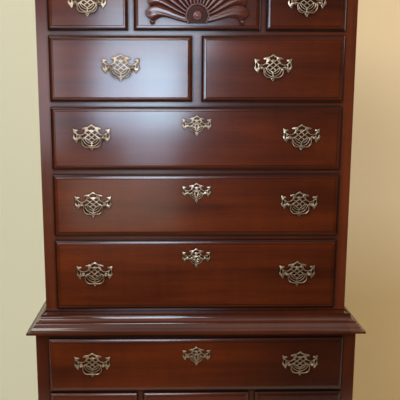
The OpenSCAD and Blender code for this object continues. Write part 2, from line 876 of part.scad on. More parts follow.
finial_h = 3.8 * plinth_w;
side_scale = 0.82;              // the two side finials against the middle one
module finials()
  color(MAHOGANY) {
    translate([0, y_up + frame_t / 2, scroll_z - plinth_drop])
      finial(finial_h, plinth_w - 2 * glue);
    side = side_scale * (plinth_w - 2 * glue);
    both_sides()
      translate([x_up - side / 2 - 2, y_up + side / 2 + 2, case_top])
        finial(side_scale * finial_h, side);
  }

// ---------------------------------------------------------------- waist

// profile: [in from the outer edge, height]
function waist_profile(land) = concat(
  [[waist_out, 0], [0, 0], [0, 6]],
  [for (i = [1:4]) [1 + 14 * i / 4, 6 + 11 * (1 - sqrt(1 - pow(i / 4, 2)))]],
  [[17, 18], [22.5, 24.5], [24, 26], [24, 30]],
  [for (i = [1:5]) [24 + 13 * sin(90 * i / 5), 30 + (waist_h - 33) * (1 - cos(90 * i / 5))]],
  [[38, waist_h - 3], [38, waist_h], [land, waist_h], [land, 20], [waist_out, 20]]
);

x_waist = low_w / 2 + waist_out;
y_waist = y_low - waist_out;

// everything in front of (front) or behind the mitre at the right corner
module mitre_block(front)
  let (reach = 4 * x_waist)
    translate([x_waist, y_waist + (front ? -1 : 1) * glue, waist_z - 1])
      rotate([0, 0, -45])
        translate([-reach, front ? -reach : 0, 0])
          cube([2 * reach, reach, waist_h + 2]);

module waist_front() {
  land = step_side + waist_out - glue;
  intersection() {
    translate([0, y_waist, waist_z])
      along_x(2 * x_waist)
        polygon(waist_profile(land));
    mitre_block(true);
    mirror([1, 0, 0])
      mitre_block(true);
  }
}

module waist_side()
  intersection() {
    translate([x_waist, 0, waist_z])
      rotate([90, 0, 0])
        mirror([1, 0, 0])
          translate([0, 0, -y_back])
            linear_extrude(y_back - y_waist)
              polygon(waist_profile(step_side + waist_out - glue));
    mitre_block(false);
  }

module waist_moulding()
  color(MAHOGANY) {
    union() {
      waist_front();
      // level board behind the front run, up to the upper case
      block([-x_up, y_waist + step_side + waist_out - glue - 1, seat_z],
            [x_up, y_up - glue, waist_z + waist_h]);
    }
    both_sides()
      waist_side();
  }

// ------------------------------------------------------------ lower case

x_low = low_w / 2;
x_low_in = x_low - post_w;              // inner faces of the corner posts
y_low_in = y_low + post_w;
low_t = 22;                             // thickness of the lower rails
row6_floor = row6_z + lip_cover;
low_floor = row7_z + lip_cover;
low_rail_t = low_rail_show + 2 * lip_cover;

// shaped lower edge of an apron of half length l: a long arch beside each
// leg, a small one beside the middle drop, and a pointed drop between them
module apron_cut(l, up) {
  for (s = [-1, 1]) {
    translate([s * l * 0.63, 0])
      scale([l * 0.28 / up, 1])
        circle(r = up, $fn = 64);
    translate([s * l * 0.205, 0])
      scale([l * 0.115 / up, 0.72])
        circle(r = up, $fn = 48);
  }
}

module lower_side_panels()
  color(MAHOGANY)
    both_sides()
      difference() {
        translate([x_low - board_t / 2, 0, 0])
          along_x(board_t)
            difference() {
              translate([y_low_in + glue, leg_h])
                square([2 * (-y_low_in - glue), seat_z - leg_h]);
              translate([0, leg_h])
                apron_cut(-y_low_in, 44);
            }
        // housings for the boards
        for (z = [seat_z, row6_floor, low_floor])
          block([x_low - board_t - 1, y_low_in, z - dust_t - glue],
                [x_low - board_t + housing + glue, -y_low_in, z + glue]);
      }

module lower_front_frame()
  color(MAHOGANY) {
    xi = x_low_in - glue;
    frame_bar(-xi, xi, row6_z + row6_h - lip_cover, seat_z, y_low, low_t);
    frame_bar(-xi, xi, row6_floor - low_rail_t, row6_floor, y_low, low_t);
    both_sides()
      frame_bar(row7_mid_w / 2 - lip_cover,
                row7_mid_w / 2 + row7_div_show + lip_cover,
                low_floor + glue, row6_floor - low_rail_t - glue, y_low, low_t);
    // apron, one board with the bottom rail
    translate([0, y_low, 0])
      along_y(low_t)
        difference() {
          translate([-xi, leg_h])
            square([2 * xi, low_floor - leg_h]);
          translate([0, leg_h])
            apron_cut(xi, 46);
        }
  }

// a board that fits between the posts and into the side panels
module low_board(z, y0)
  translate([0, 0, z - dust_t])
    linear_extrude(dust_t) {
      translate([-x_low_in + glue, y0])
        square([2 * (x_low_in - glue), y_rear - 1 - y0]);
      translate([-x_low + board_t - housing, y_low_in + 1])
        square([2 * (x_low - board_t + housing), 2 * (-y_low_in - 1)]);
    }

module lower_dust_boards()
  color(POPLAR) {
    for (z = [seat_z, row6_floor, low_floor])
      low_board(z, y_low + low_t + glue);
    for (z = [row6_floor, low_floor])
      both_sides()
        block([x_low_in, y_low_in + 1, z + glue],
              [x_low - board_t - glue, -y_low_in - 1, z + glue + guide_h]);
    both_sides()
      block([row7_mid_w / 2 - lip_cover, y_low + low_t + glue, low_floor + glue],
            [row7_mid_w / 2 + row7_div_show + lip_cover, y_rear - 1,
             low_floor + glue + guide_h]);
  }

// cabriole leg stations: [height share, outward shift, half width, roundness]
leg_stations = [
  [1.05, -2, 20, 0], [1.0, 0, 21.8, 0], [0.965, 6, 28, 0.1], [0.91, 14, 35, 0.3],
  [0.85, 17, 37.5, 0.45], [0.75, 13, 34, 0.6], [0.62, 4, 26.5, 0.75],
  [0.46, -5, 20, 0.9], [0.3, -9.5, 15.5, 1], [0.17, -8, 13.8, 1],
  [0.105, -3, 15, 1], [0.065, 2, 19, 1], [0.045, 4, 20, 1]
];
leg_sides = 24;

// one point of a section: a square whose corners round off as q nears 1
function leg_point(a, r, q) =
  let (k = 1 / max(abs(cos(a)), abs(sin(a))),
       m = min(k, 1.41) * (1 - q) + q)
  [r * m * cos(a), r * m * sin(a)];

module leg_shape() {
  ns = len(leg_stations);
  pts = [for (s = leg_stations, i = [0:leg_sides - 1])
    let (p = leg_point(360 * i / leg_sides + 7.5, s[2], s[3]),
         o = s[1] / sqrt(2))
    [p[0] + o, p[1] - o, s[0] * leg_h]];
  polyhedron(pts, concat(
    [for (j = [0:ns - 2], i = [0:leg_sides - 1])
      let (k = (i + 1) % leg_sides)
      [j * leg_sides + i, j * leg_sides + k, (j + 1) * leg_sides + k]],
    [for (j = [0:ns - 2], i = [0:leg_sides - 1])
      let (k = (i + 1) % leg_sides)
      [j * leg_sides + i, (j + 1) * leg_sides + k, (j + 1) * leg_sides + i]],
    [[for (i = [leg_sides - 1:-1:0]) i]],
    [[for (i = [0:leg_sides - 1]) (ns - 1) * leg_sides + i]]
  ));
}

// knee bracket: a hollow-cornered block under the apron, against the post
knee = 48;
module knee_bracket(t)
  along_y(t)
    difference() {
      translate([-knee, leg_h - knee])
        square([knee + 8, knee]);
      translate([-knee, leg_h - knee])
        circle(r = knee * 0.93, $fn = 64);
    }

// right front leg: post, knee, cabriole sweep and pad foot in one piece
module cabriole_leg() {
  post_c = [x_low - post_w / 2, y_low + post_w / 2];
  translate([x_low_in, y_low + 1, 0])
    knee_bracket(low_t - 2);
  translate([x_low - 1, y_low_in, 0])
    rotate([0, 0, 90])
      mirror([1, 0, 0])
        knee_bracket(board_t - 2);
  block([x_low_in, y_low, leg_h], [x_low, y_low_in, seat_z]);
  translate([post_c[0], post_c[1], 0])
    leg_shape();
  translate([post_c[0] + 4 / sqrt(2), post_c[1] - 4 / sqrt(2), 0])
    rotate_extrude($fn = 48)
      polygon([[0, 0], [pad_r - 7, 0], [pad_r - 5, 5], [pad_r, 12], [pad_r, 16],
               [pad_r - 4, 21], [pad_r - 9, 24], [0, 25]]);
}

module cabriole_legs()
  color(MAHOGANY)
    for (m = [0, 1])
      mirror([0, m, 0])
        both_sides()
          cabriole_leg();

// --------------------------------------------------------------- drawers

module row1_left_front() drawer_front(D1L);
module row1_left_box() drawer_box(D1L);
module row1_left_plate() brass_of(D1L);
module row1_left_bail() bail(D1L, 0);
module row1_centre_front() carved_front(D1C);
module row1_centre_box() drawer_box(D1C);
module row1_right_front() drawer_front(D1R);
module row1_right_box() drawer_box(D1R);
module row1_right_plate() brass_of(D1R);
module row1_right_bail() bail(D1R, 0);

module row2_left_front() drawer_front(D2L);
module row2_left_box() drawer_box(D2L);
module row2_left_plate() brass_of(D2L);
module row2_left_bail() bail(D2L, 0);
module row2_right_front() drawer_front(D2R);
module row2_right_box() drawer_box(D2R);
module row2_right_plate() brass_of(D2R);
module row2_right_bail() bail(D2R, 0);

module row3_front() drawer_front(D3);
module row3_box() drawer_box(D3);
module row3_plates() brass_of(D3);
module row3_left_bail() bail(D3, D3[5][0]);
module row3_right_bail() bail(D3, D3[5][1]);

module row4_front() drawer_front(D4);
module row4_box() drawer_box(D4);
module row4_plates() brass_of(D4);
module row4_left_bail() bail(D4, D4[5][0]);
module row4_right_bail() bail(D4, D4[5][1]);

module row5_front() drawer_front(D5);
module row5_box() drawer_box(D5);
module row5_plates() brass_of(D5);
module row5_left_bail() bail(D5, D5[5][0]);
module row5_right_bail() bail(D5, D5[5][1]);

module row6_front() drawer_front(D6);
module row6_box() drawer_box(D6);
module row6_plates() brass_of(D6);
module row6_left_bail() bail(D6, D6[5][0]);
module row6_right_bail() bail(D6, D6[5][1]);

module row7_left_front() drawer_front(D7L);
module row7_left_box() drawer_box(D7L);
module row7_left_plate() brass_of(D7L);
module row7_left_bail() bail(D7L, 0);
module row7_centre_front() carved_front(D7C);
module row7_centre_box() drawer_box(D7C);
module row7_right_front() drawer_front(D7R);
module row7_right_box() drawer_box(D7R);
module row7_right_plate() brass_of(D7R);
module row7_right_bail() bail(D7R, 0);

// ------------------------------------------------------------------ nodes

upper_side_panels();
upper_front_frame();
upper_dust_boards();
back_panels();
scroll_board();
cornice_mouldings();
finials();
waist_moulding();
lower_side_panels();
lower_front_frame();
lower_dust_boards();
cabriole_legs();
row1_left_front();
row1_left_box();
row1_left_plate();
row1_left_bail();
row1_centre_front();
row1_centre_box();
row1_right_front();
row1_right_box();
row1_right_plate();
row1_right_bail();
row2_left_front();
row2_left_box();
row2_left_plate();
row2_left_bail();
row2_right_front();
row2_right_box();
row2_right_plate();
row2_right_bail();
row3_front();
row3_box();
row3_plates();
row3_left_bail();
row3_right_bail();
row4_front();
row4_box();
row4_plates();
row4_left_bail();
row4_right_bail();
row5_front();
row5_box();
row5_plates();
row5_left_bail();
row5_right_bail();
row6_front();
row6_box();
row6_plates();
row6_left_bail();
row6_right_bail();
row7_left_front();
row7_left_box();
row7_left_plate();
row7_left_bail();
row7_centre_front();
row7_centre_box();
row7_right_front();
row7_right_box();
row7_right_plate();
row7_right_bail();
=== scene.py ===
# %% [markdown]
# # A tall chest of drawers, dressed in mahogany and brass
# The chest arrives as a finished frame: every board, drawer front, brass plate
# and bail is already in its place. This lesson gives each of them the surface
# of the real thing, adds the fine carving and brass work, and lights it softly.

# %% Load the frame
import json
import math

import bpy
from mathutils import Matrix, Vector

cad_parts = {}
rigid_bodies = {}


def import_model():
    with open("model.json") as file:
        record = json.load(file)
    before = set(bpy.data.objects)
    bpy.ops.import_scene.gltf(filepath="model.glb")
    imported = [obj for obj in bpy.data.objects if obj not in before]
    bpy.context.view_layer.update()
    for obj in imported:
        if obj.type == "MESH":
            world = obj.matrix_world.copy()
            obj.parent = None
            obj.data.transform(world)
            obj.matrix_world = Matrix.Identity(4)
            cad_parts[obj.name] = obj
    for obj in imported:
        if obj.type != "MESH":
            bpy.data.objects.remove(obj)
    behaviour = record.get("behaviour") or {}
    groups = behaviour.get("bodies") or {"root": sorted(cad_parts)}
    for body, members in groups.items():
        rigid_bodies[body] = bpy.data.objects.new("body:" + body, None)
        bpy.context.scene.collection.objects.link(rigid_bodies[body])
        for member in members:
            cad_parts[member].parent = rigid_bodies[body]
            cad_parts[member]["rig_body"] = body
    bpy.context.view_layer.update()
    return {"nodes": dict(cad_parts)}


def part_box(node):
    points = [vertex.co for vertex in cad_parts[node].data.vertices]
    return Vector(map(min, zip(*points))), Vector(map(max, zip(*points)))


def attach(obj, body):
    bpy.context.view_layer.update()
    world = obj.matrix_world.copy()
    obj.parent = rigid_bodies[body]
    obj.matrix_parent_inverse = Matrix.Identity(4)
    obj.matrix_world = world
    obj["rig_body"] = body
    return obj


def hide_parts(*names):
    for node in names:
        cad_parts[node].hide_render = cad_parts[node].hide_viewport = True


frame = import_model()
nodes = frame["nodes"]


# %% [markdown]
# Operators act on whatever is selected, and loading leaves every node selected.
# So everything is deselected before any modelling, and a small helper makes one
# object the active and only selected one.

# %% Selection helpers
def deselect():
    for o in bpy.context.selected_objects:
        o.select_set(False)


def pick(obj):
    deselect()
    obj.select_set(True)
    bpy.context.view_layer.objects.active = obj
    return obj


deselect()
print("selected objects now:", len(bpy.context.selected_objects))


# %% [markdown]
# A material is a tree of small boxes joined by wires. Two helpers keep the wiring
# readable: one feeds a socket with a wire or with a plain value, and the other
# adds a box, chooses its settings and feeds its sockets.

# %% Node helpers
def feed(tree, socket, value):
    """Wire another box's socket into this one, or set this one to a plain value."""
    if isinstance(value, bpy.types.NodeSocket):
        tree.links.new(value, socket)
    else:
        socket.default_value = value


def add(tree, kind, values=None, **settings):
    box = tree.nodes.new(kind)
    for key, value in settings.items():
        setattr(box, key, value)
    for key, value in (values or {}).items():
        feed(tree, box.inputs[key], value)
    return box


print("a box and its wires now take one line")


# %% [markdown]
# Some boxes come again and again: sums, mixes of two colours, noises, a range
# squeezed into another one, and the place of a point on its piece. Each gets a
# short function that gives back its result, so that one can be written inside
# the next, as in a formula.

# %% Boxes that come often
def math_node(tree, operation, a, b=0.0):
    return add(tree, "ShaderNodeMath", {0: a, 1: b}, operation=operation).outputs[0]


def times(tree, a, b):
    return math_node(tree, "MULTIPLY", a, b)


def vector_math(tree, operation, a, b=(0.0, 0.0, 0.0)):
    return add(tree, "ShaderNodeVectorMath", {0: a, 1: b}, operation=operation).outputs


# The Mix box has sockets for every kind of value, so its sockets go by number:
# colours go in at 6 and 7 and come out at 2, vectors at 4 and 5 and at 1.
def mix_colour(tree, factor, a, b, blend="MIX"):
    return add(tree, "ShaderNodeMix", {0: factor, 6: a, 7: b},
               data_type="RGBA", blend_type=blend).outputs[2]


def mix_vector(tree, factor, a, b):
    return add(tree, "ShaderNodeMix", {0: factor, 4: a, 5: b}, data_type="VECTOR").outputs[1]


def noise(tree, vector, scale, detail=3.0, rough=0.55, distortion=0.0):
    values = {"Vector": vector, "Scale": scale, "Detail": detail, "Roughness": rough,
              "Distortion": distortion}
    return add(tree, "ShaderNodeTexNoise", values).outputs["Fac"]


def remap(tree, value, low_in, high_in, low_out=0.0, high_out=1.0):
    values = {"Value": value, "From Min": low_in, "From Max": high_in,
              "To Min": low_out, "To Max": high_out}
    return add(tree, "ShaderNodeMapRange", values).outputs["Result"]


def bumped(tree, height, normal, strength, depth):
    """A normal tilted by a height, on top of another normal. The depth is in metres."""
    values = {"Strength": strength, "Distance": depth, "Height": height, "Normal": normal}
    return add(tree, "ShaderNodeBump", values).outputs[0]


def on_piece(tree):
    """Object coordinates: where a point is on the piece, in metres."""
    return add(tree, "ShaderNodeTexCoord").outputs["Object"]


def axes(tree, vector):
    return add(tree, "ShaderNodeSeparateXYZ", {0: vector}).outputs


print("formula helpers ready")


# %% [markdown]
# Colours are written as they look on screen, from 0 to 255. A shader counts in
# linear light, so the standard screen curve is undone first.

# %% Colours
def linear(r, g, b):
    def one(c):
        c /= 255
        return c / 12.92 if c <= 0.04045 else ((c + 0.055) / 1.055) ** 2.4
    return (one(r), one(g), one(b), 1.0)


print("middle grey in linear light:", round(linear(128, 128, 128)[0], 3))


# %% [markdown]
# An effect that several finishes share is a group: a tree of its own, with named
# inputs and outputs, that is built once and then placed in each material. The
# principled shader itself stays in the material.

# %% Groups and materials
def new_group(name, inputs, outputs):
    group = bpy.data.node_groups.new(name, "ShaderNodeTree")
    for label, kind, value in inputs:
        socket = group.interface.new_socket(label, in_out="INPUT", socket_type=kind)
        if value is not None:
            socket.default_value = value
    for label, kind in outputs:
        group.interface.new_socket(label, in_out="OUTPUT", socket_type=kind)
    ends = group.nodes.new("NodeGroupInput"), group.nodes.new("NodeGroupOutput")
    return group, ends[0].outputs, ends[1].inputs


def place_group(tree, group, values):
    return add(tree, "ShaderNodeGroup", values, node_tree=group).outputs


def new_material(name):
    mat = bpy.data.materials.new(name)
    mat.use_nodes = True
    return mat, mat.node_tree, mat.node_tree.nodes["Principled BSDF"]


print("group helpers ready")

# %% [markdown]
# Mahogany has figure at every scale: broad ribbons where the grain leans, fine
# streaks along the board, cloudy patches, faint bars across it, and open pores
# that look like short dark dashes. One group makes them all from a direction, so
# a rail, a stile and a leg can each have the grain run the way a joiner would lay
# it. The first axis lies along the board. All the noises are stretched that way
# except for the bars, which are stretched across it.

# %% Wood grain group
GRAIN, g_in, g_out = new_group(
    "wood_grain",
    [("Vector", "NodeSocketVector", None), ("Light", "NodeSocketColor", linear(120, 58, 30)),
     ("Dark", "NodeSocketColor", linear(62, 24, 12)), ("Pores", "NodeSocketFloat", 0.6),
     ("Ribbon", "NodeSocketFloat", 0.5)],
    [("Color", "NodeSocketColor"), ("Roughness", "NodeSocketFloat"),
     ("Height", "NodeSocketFloat")])


def figure_noise(stretch, *look):
    return noise(GRAIN, vector_math(GRAIN, "MULTIPLY", g_in["Vector"], stretch)["Vector"], *look)


ribbons = figure_noise((0.55, 9.0, 9.0), 2.2, 3.0, 0.5, 0.35)
streaks = figure_noise((1.6, 60.0, 60.0), 3.0, 4.0, 0.62)
patches = figure_noise((1.3, 5.0, 5.0), 1.7, 2.0, 0.5, 0.6)
bars = figure_noise((14.0, 3.0, 3.0), 2.0, 2.0, 0.5)
pores = figure_noise((60.0, 1400.0, 1400.0), 1.0, 1.0, 0.4)
print("five noises for the figure of the wood")

# %% [markdown]
# The noises are now weighed against each other. Their sum chooses between the
# light and the dark colour of the wood, and the pores are laid over it. Pores are
# also little pits, and a hand-planed board is never quite flat, so both go into a
# height, which later tilts the reflections a little.

# %% Colour, gloss and height of the grain
STREAK_SHARE, BAR_SHARE = 0.26, 0.12
PLANED_STREAKS, PLANED_WAVES = 0.25, 12.0
PORE_BROWN = linear(24, 8, 4)

streak_mask = remap(GRAIN, streaks, 0.25, 0.75)
figure = times(GRAIN, remap(GRAIN, ribbons, 0.33, 0.67), g_in["Ribbon"])
for part in (times(GRAIN, streak_mask, STREAK_SHARE),
             remap(GRAIN, patches, 0.34, 0.66, -0.10, 0.24),
             times(GRAIN, remap(GRAIN, bars, 0.3, 0.7), BAR_SHARE)):
    figure = math_node(GRAIN, "ADD", figure, part)
body = mix_colour(GRAIN, figure, g_in["Dark"], g_in["Light"])
pits = times(GRAIN, remap(GRAIN, pores, 0.60, 0.74), g_in["Pores"])
planed = math_node(GRAIN, "ADD", times(GRAIN, streak_mask, PLANED_STREAKS),
                   times(GRAIN, noise(GRAIN, g_in["Vector"], 7.0, 1.0), PLANED_WAVES))
feed(GRAIN, g_out["Color"], mix_colour(GRAIN, pits, body, PORE_BROWN))
feed(GRAIN, g_out["Roughness"], remap(GRAIN, streaks, 0.2, 0.8, 0.30, 0.42))
feed(GRAIN, g_out["Height"], math_node(GRAIN, "SUBTRACT", planed, pits))
print("wood grain group:", len(GRAIN.nodes), "nodes")

# %% [markdown]
# An old, often polished piece is a little paler along its edges, partly from wear
# and partly as a painted highlight, and no edge is quite sharp. The group compares
# the true normal with one rounded over a short distance: where they part by more
# than a few degrees there is an edge. It gives out that mask, and the rounded
# normal, which puts a thin highlight on the edge.

# %% Edge group
EDGE_BEGINS, EDGE_FULL = 0.995, 0.80  # cosines of the angle between the two normals
EDGE, e_in, e_out = new_group(
    "soft_edge", [("Radius", "NodeSocketFloat", 0.0012)],
    [("Mask", "NodeSocketFloat"), ("Normal", "NodeSocketVector")])
softened = add(EDGE, "ShaderNodeBevel", {"Radius": e_in["Radius"]}, samples=6).outputs[0]
true_normal = add(EDGE, "ShaderNodeNewGeometry").outputs["Normal"]
alike = vector_math(EDGE, "DOT_PRODUCT", softened, true_normal)["Value"]
feed(EDGE, e_out["Mask"], remap(EDGE, alike, EDGE_BEGINS, EDGE_FULL))
feed(EDGE, e_out["Normal"], softened)
print("edge group:", len(EDGE.nodes), "nodes")

# %% [markdown]
# Polish and dust settle wherever a duster cannot reach, and shade falls there too:
# round the brass, along the lips, between the rays of a shell. Ambient occlusion
# over a few millimetres finds just those corners, so it serves as the mask for
# painted shade with some old grime.

# %% Painted shade and grime group
# The mask darkens corners: painted shade, with some grime.
SHADE_GRIME_BEGINS, SHADE_GRIME_FULL = 0.95, 0.58  # share of the surroundings that is open
SHADE_GRIME, m_in, m_out = new_group(
    "corner_shade_and_grime", [("Reach", "NodeSocketFloat", 0.008)], [("Mask", "NodeSocketFloat")])
corner = add(SHADE_GRIME, "ShaderNodeAmbientOcclusion", {"Distance": m_in["Reach"]},
             samples=8, only_local=False)
feed(SHADE_GRIME, m_out["Mask"], remap(SHADE_GRIME, corner.outputs["AO"], SHADE_GRIME_BEGINS, SHADE_GRIME_FULL))
print("grime group:", len(SHADE_GRIME.nodes), "nodes")

# %% [markdown]
# A joiner lays the grain along every board. Each piece could have a grain group
# of its own, but one will do for all: Object coordinates are turned so that their
# first axis lies along the board. Where one piece has boards both ways, such as a
# face frame with its stiles and rails, a mask on x swaps the two directions.

# %% Grain direction
TURN = {"x": (0, 0, 0), "y": (0, 0, math.radians(90)), "z": (0, math.radians(90), 0)}


def turned(tree, axis):
    return add(tree, "ShaderNodeMapping", {"Vector": on_piece(tree), "Rotation": TURN[axis]},
               vector_type="POINT").outputs[0]


def grain_vector(tree, along, edge_along, edge_x):
    """Along one axis, or along a second one farther than edge_x from the middle."""
    if edge_along is None:
        return turned(tree, along)
    outer = math_node(tree, "GREATER_THAN",
                      math_node(tree, "ABSOLUTE", axes(tree, on_piece(tree))["X"]), edge_x)
    return mix_vector(tree, outer, turned(tree, along), turned(tree, edge_along))


print("grain can run along", ", ".join(TURN))

# %% [markdown]
# The colour of the stained wood is built up here in order. Whatever turns away
# from the front, the moulded edges above all, is darkened: a painted shade. The
# fronts are darkened towards the right, away from the window: a painted shade too.
# The edges are made paler, partly wear and partly a painted highlight, and the
# corners darker, partly grime and partly painted shade.

# %% Stain, painted shade, wear and grime
RIGHT_SHADE_FROM, RIGHT_SHADE_TO = -0.02, 0.30      # x at which the darker side begins and is full
WEAR_HIGHLIGHT_PALER = 1.9
SHADE_GRIME_COVER = 0.85
SLOPE_SHADE_BROWN, RIGHT_SHADE_BROWN, WOOD_SHADE_GRIME = linear(18, 6, 3), linear(24, 7, 3), linear(16, 6, 4)


def aged_and_shaded(tree, wood, light, slope_shade_mask, right_shade, wear_highlight_mask, shade_grime):
    # Moulded slopes are darkened: painted shade.
    wood = mix_colour(tree, slope_shade_mask, wood, SLOPE_SHADE_BROWN)
    # Darker towards the right, away from the window: painted shade.
    if right_shade:
        x = axes(tree, on_piece(tree))["X"]
        wood = mix_colour(tree, remap(tree, x, RIGHT_SHADE_FROM, RIGHT_SHADE_TO, 0.0, right_shade),
                          wood, RIGHT_SHADE_BROWN)
    # Paler edges: partly wear, partly a painted highlight.
    pale = [c * WEAR_HIGHLIGHT_PALER for c in light[:3]] + [1]
    wood = mix_colour(tree, wear_highlight_mask, wood, pale)
    # Darker in the corners: painted shade, with some grime.
    return mix_colour(tree, times(tree, shade_grime, SHADE_GRIME_COVER), wood, WOOD_SHADE_GRIME)


print("stain, wear and grime ready")

# %% [markdown]
# The finish is a thin clear varnish over stained wood. The principled shader's
# coat is exactly that, so the wood itself stays rather dull and the coat shines.
# Painted shade and grime in the corners, and painted shade on moulded edges, take some of the
# gloss away.

# %% Varnished wood
FLAT, MOULDED = 0.999, 0.96           # share of the normal that points to the front
# Moulded slopes keep this share of the gloss: painted shade in their reflections.
SHADED_SLOPE_GLOSS = 0.4
SHADE_GRIME_DULLS_AT = 0.8
GRAIN_STRENGTH, GRAIN_DEPTH = 0.10, 0.0004
STAINED_SPECULAR = 0.05


def varnished(name, light, dark, along="x", edge_along=None, edge_x=0.0,
              ribbon=0.5, pores=0.45, coat=1.0, coat_rough=0.14, edge=0.0009,
              slope_shade=0.0, reach=0.008, shade_grime_dulls=0.9, right_shade=0.0, wear_and_highlight=0.12):
    """Wood of two colours under varnish.

    along, edge_along, edge_x: grain direction, and the one farther out than edge_x.
    ribbon, pores: strength of the figure. coat, coat_rough: the varnish.
    edge, wear_and_highlight: radius in metres, and paleness of the edges, partly wear and partly
    a painted highlight.
    slope_shade: painted shade on moulded edges. right_shade: painted shade towards the right,
    away from the window.
    reach, shade_grime_dulls: how far the painted corner shade and grime reach, in metres, and
    the gloss they take.
    """
    mat, tree, shader = new_material(name)
    grain = place_group(tree, GRAIN, {
        "Vector": grain_vector(tree, along, edge_along, edge_x),
        "Light": light, "Dark": dark, "Ribbon": ribbon, "Pores": pores})
    rim = place_group(tree, EDGE, {"Radius": edge})
    # Ambient occlusion darkens the corners: painted shade, with some grime.
    shade_grime = place_group(tree, SHADE_GRIME, {"Reach": reach})["Mask"]
    facing = axes(tree, add(tree, "ShaderNodeNewGeometry").outputs["True Normal"])["Y"]
    # Whatever turns away from the front gets painted shade.
    slope = remap(tree, math_node(tree, "ABSOLUTE", facing), FLAT, MOULDED)
    slope_shade_mask = times(tree, slope, slope_shade)
    # Paler edges: partly wear, partly a painted highlight.
    wear_highlight_mask = times(tree, rim["Mask"], wear_and_highlight)
    feed(tree, shader.inputs["Base Color"],
         aged_and_shaded(tree, grain["Color"], light, slope_shade_mask, right_shade, wear_highlight_mask, shade_grime))
    feed(tree, shader.inputs["Roughness"], grain["Roughness"])
    feed(tree, shader.inputs["Normal"],
         bumped(tree, grain["Height"], rim["Normal"], GRAIN_STRENGTH, GRAIN_DEPTH))
    if coat:
        # Shaded corners lose gloss as well: painted shade in the reflections.
        clean = remap(tree, shade_grime, 0.0, SHADE_GRIME_DULLS_AT, coat, (1 - shade_grime_dulls) * coat)
        # Moulded slopes lose gloss too, a painted shade in their reflections.
        gloss = times(tree, clean, remap(tree, slope_shade_mask, 0.0, 1.0, 1.0, SHADED_SLOPE_GLOSS))
        feed(tree, shader.inputs["Coat Weight"], gloss)
    shader.inputs["Coat Roughness"].default_value = coat_rough
    shader.inputs["Specular IOR Level"].default_value = STAINED_SPECULAR
    return mat


print("varnish ready")

# %% [markdown]
# Each part of the chest gets its own mahogany. The fronts were chosen for colour,
# the case is a shade browner, and the waist moulding, the lower case and the legs
# are darker. The stiles begin at the edge of a drawer's opening, which the lip of
# the drawer covers, and the side runs of a moulding begin just outside the upper
# case.

# %% Mahogany of each part
LIP_COVER = 0.006
PAST_SIDE = 0.003
stile_x = round(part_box("row3_front")[1].x - LIP_COVER, 3)
side_run_x = round(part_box("upper_side_panels")[1].x + PAST_SIDE, 3)
FIELD = linear(104, 42, 11), linear(58, 19, 4)
CASE = linear(106, 46, 19), linear(60, 22, 8)

# The fronts get painted shade towards the right, most on the lower rows, and paler edges that
# are partly wear and partly a painted highlight.
front_wood = varnished("mahogany_fronts", *FIELD, "x", slope_shade=0.8, reach=0.012,
                       right_shade=0.28, wear_and_highlight=0.3)
low_front_wood = varnished("mahogany_low_fronts", *FIELD, "x", slope_shade=0.45,
                           reach=0.010, right_shade=0.75, wear_and_highlight=0.3)
board_wood = varnished("mahogany_crossways", *CASE, "x")
upright_wood = varnished("mahogany_upright", *CASE, "z")
frame_wood = varnished("mahogany_face_frame", *CASE, "x", "z", stile_x,
                       coat_rough=0.17, shade_grime_dulls=0.5)
waist_wood = varnished("mahogany_mouldings", linear(86, 37, 16), linear(46, 17, 7),
                       "x", "y", side_run_x, coat_rough=0.08)
# The lower frame is darkened towards the right as well: painted shade.
low_frame_wood = varnished("mahogany_low_frame", linear(84, 35, 13), linear(46, 17, 6), "x",
                           reach=0.012, right_shade=0.3)
leg_wood = varnished("mahogany_legs", linear(80, 33, 12), linear(44, 16, 5), "z")
print("mahogany ready, stiles from x =", stile_x, "and side runs from", side_run_x)

# %% [markdown]
# The plates, posts and bails are cast brass, rubbed bright on the raised places
# and left brown in the hollows. Round the rims they are darkened as well, a painted
# shade of the rounded bars. Two noises vary the tarnish, a fine bump gives the
# slightly sandy cast surface, and a thin coat of lacquer, put on against new
# tarnish, mirrors a window white where the metal is golden.

# %% Brass material
TARNISH_SCALE, SAND_SCALE = 70.0, 900.0
SAND_STRENGTH, SAND_DEPTH = 0.12, 0.0003
# The brown round the rims is painted shade; the brown in the hollows is patina.
RIM_SHADE, CORNER_BROWN = 0.5, 0.5
BRASS_GRIME, BRASS_REACH = linear(44, 29, 18), 0.003


def cast_brass(name, bright, brown, tarnish, edge):
    mat, tree, shader = new_material(name)
    clouds = remap(tree, noise(tree, on_piece(tree), TARNISH_SCALE, 3.0, 0.6), 0.40, 0.72)
    specks = remap(tree, noise(tree, on_piece(tree), SAND_SCALE, 2.0, 0.6), 0.35, 0.75)
    rim = place_group(tree, EDGE, {"Radius": edge})
    shade_grime = place_group(tree, SHADE_GRIME, {"Reach": BRASS_REACH})["Mask"]
    colour = mix_colour(tree, times(tree, clouds, tarnish), bright, brown)
    colour = mix_colour(tree, times(tree, rim["Mask"], RIM_SHADE), colour, brown)
    colour = mix_colour(tree, times(tree, shade_grime, CORNER_BROWN), colour, BRASS_GRIME)
    feed(tree, shader.inputs["Base Color"], colour)
    feed(tree, shader.inputs["Roughness"], remap(tree, specks, 0.0, 1.0, 0.33, 0.46))
    feed(tree, shader.inputs["Normal"],
         bumped(tree, specks, rim["Normal"], SAND_STRENGTH, SAND_DEPTH))
    shader.inputs["Metallic"].default_value = 0.92
    shader.inputs["Coat Weight"].default_value = 0.9
    shader.inputs["Coat Roughness"].default_value = 0.12
    return mat


plate_brass = cast_brass("brass_plates", linear(168, 141, 110), linear(100, 75, 54), 0.5, 0.0009)
bail_brass = cast_brass("brass_bails", linear(150, 122, 92), linear(68, 46, 30), 0.6, 0.0006)
print("brass materials ready")

